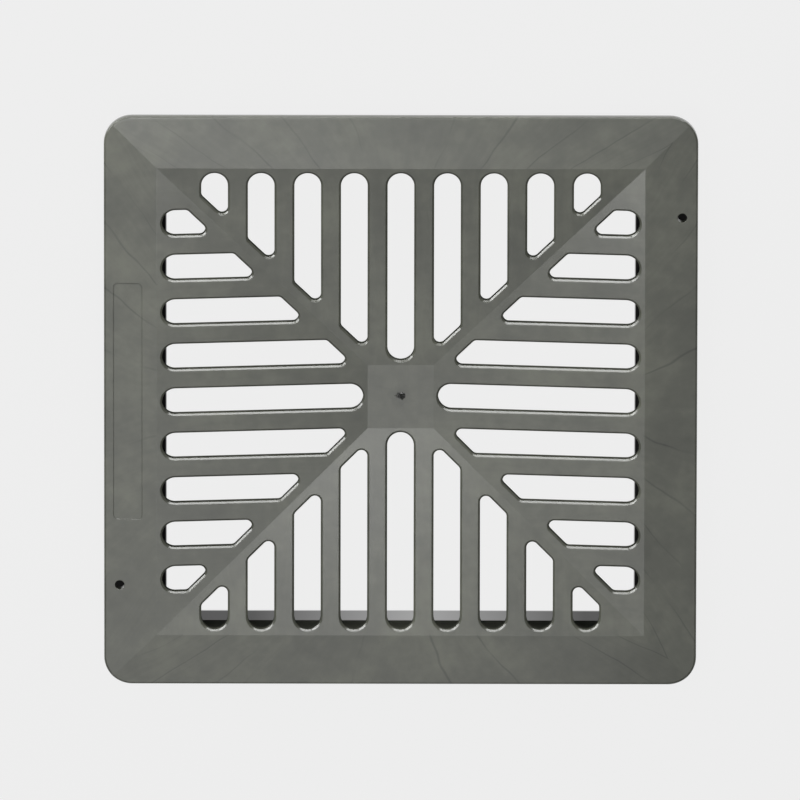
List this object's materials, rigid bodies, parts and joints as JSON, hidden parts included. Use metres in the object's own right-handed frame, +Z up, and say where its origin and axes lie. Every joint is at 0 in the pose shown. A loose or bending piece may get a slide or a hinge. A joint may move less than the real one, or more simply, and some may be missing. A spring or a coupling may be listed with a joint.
{
  "type": "gully trap grate",
  "caption": "Square dished drain grate moulded in grey plastic: slots in four mitred fields fall to a centre pad, with a skirt under the border and screw holes in the lip.",
  "frame": {"origin": "under the middle of the grate, on the plane of the skirt's foot", "axes": "+Z up through the grate, +X to the right and +Y to the top of the picture; the bare panel is on the -X border"},
  "size_m": [0.25, 0.25, 0.022],
  "materials": {
    "grey_plastic": "satin moulded"
  },
  "bodies": {
    "root": {"grate": "grey_plastic"}
  },
  "joints": []
}
